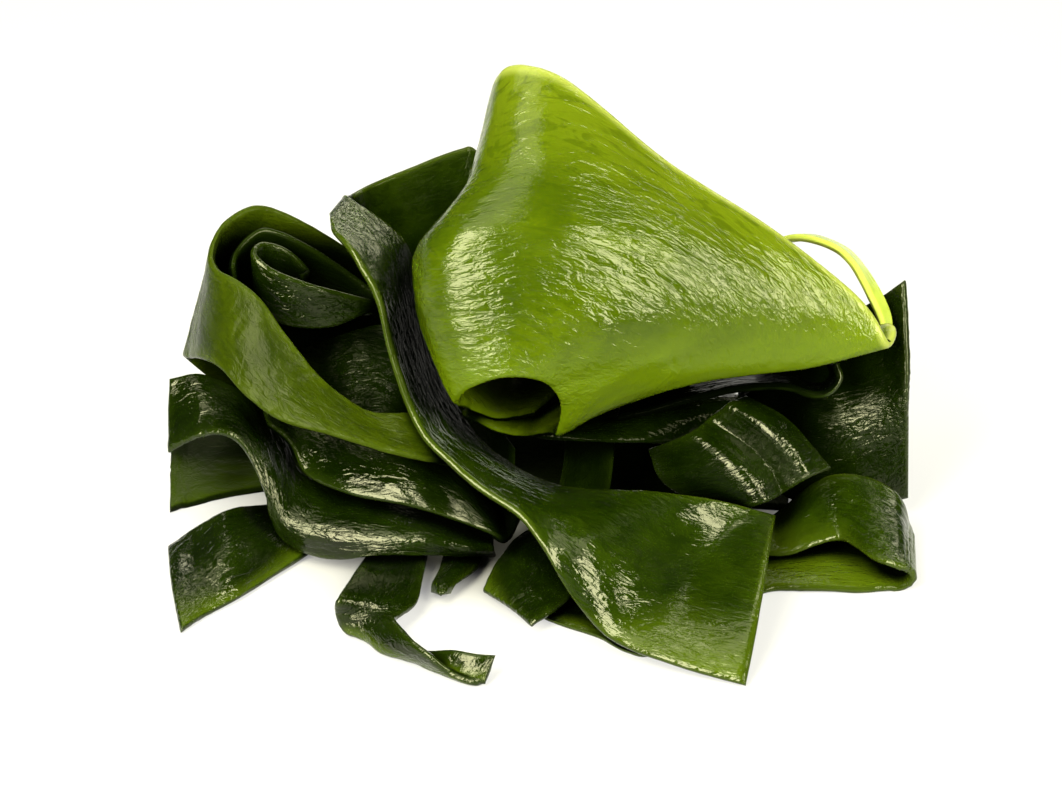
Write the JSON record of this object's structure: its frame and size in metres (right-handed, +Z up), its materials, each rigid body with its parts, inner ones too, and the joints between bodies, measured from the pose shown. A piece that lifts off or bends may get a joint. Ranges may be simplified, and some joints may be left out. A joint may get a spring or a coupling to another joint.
{
  "type": "kelp frond",
  "caption": "Wet kelp frond cut off at its stipe and lying in a loose heap, its pale young sheet rolled into an open hood over folded and curled dark straps.",
  "frame": {"origin": "on the floor under the middle of the heap's bounding box", "axes": "+Z up; +X along the heap's length, to the right as the picture shows it; +Y away from the viewer"},
  "size_m": [0.1946, 0.1606, 0.1197],
  "materials": {
    "young_sheet": "wet, glossy, finely wrinkled, lets light through at thin edges",
    "green_strap": "wet, glossy, finely wrinkled",
    "dark_strap": "wet, glossy, finely wrinkled",
    "stipe": "wet, glossy, finely wrinkled"
  },
  "bodies": {
    "root": {"hood": "young_sheet", "rim_loop": "young_sheet", "long_strap": "green_strap", "left_loop": "green_strap", "right_turn": "green_strap", "left_roll": "dark_strap", "left_mid": "dark_strap", "left_arch": "dark_strap", "left_back": "dark_strap", "left_tip": "dark_strap", "small_curl": "dark_strap", "small_tip": "dark_strap", "centre_tip": "dark_strap", "right_fold": "dark_strap", "right_back": "dark_strap", "right_hook": "dark_strap", "base": "stipe"}
  },
  "joints": []
}
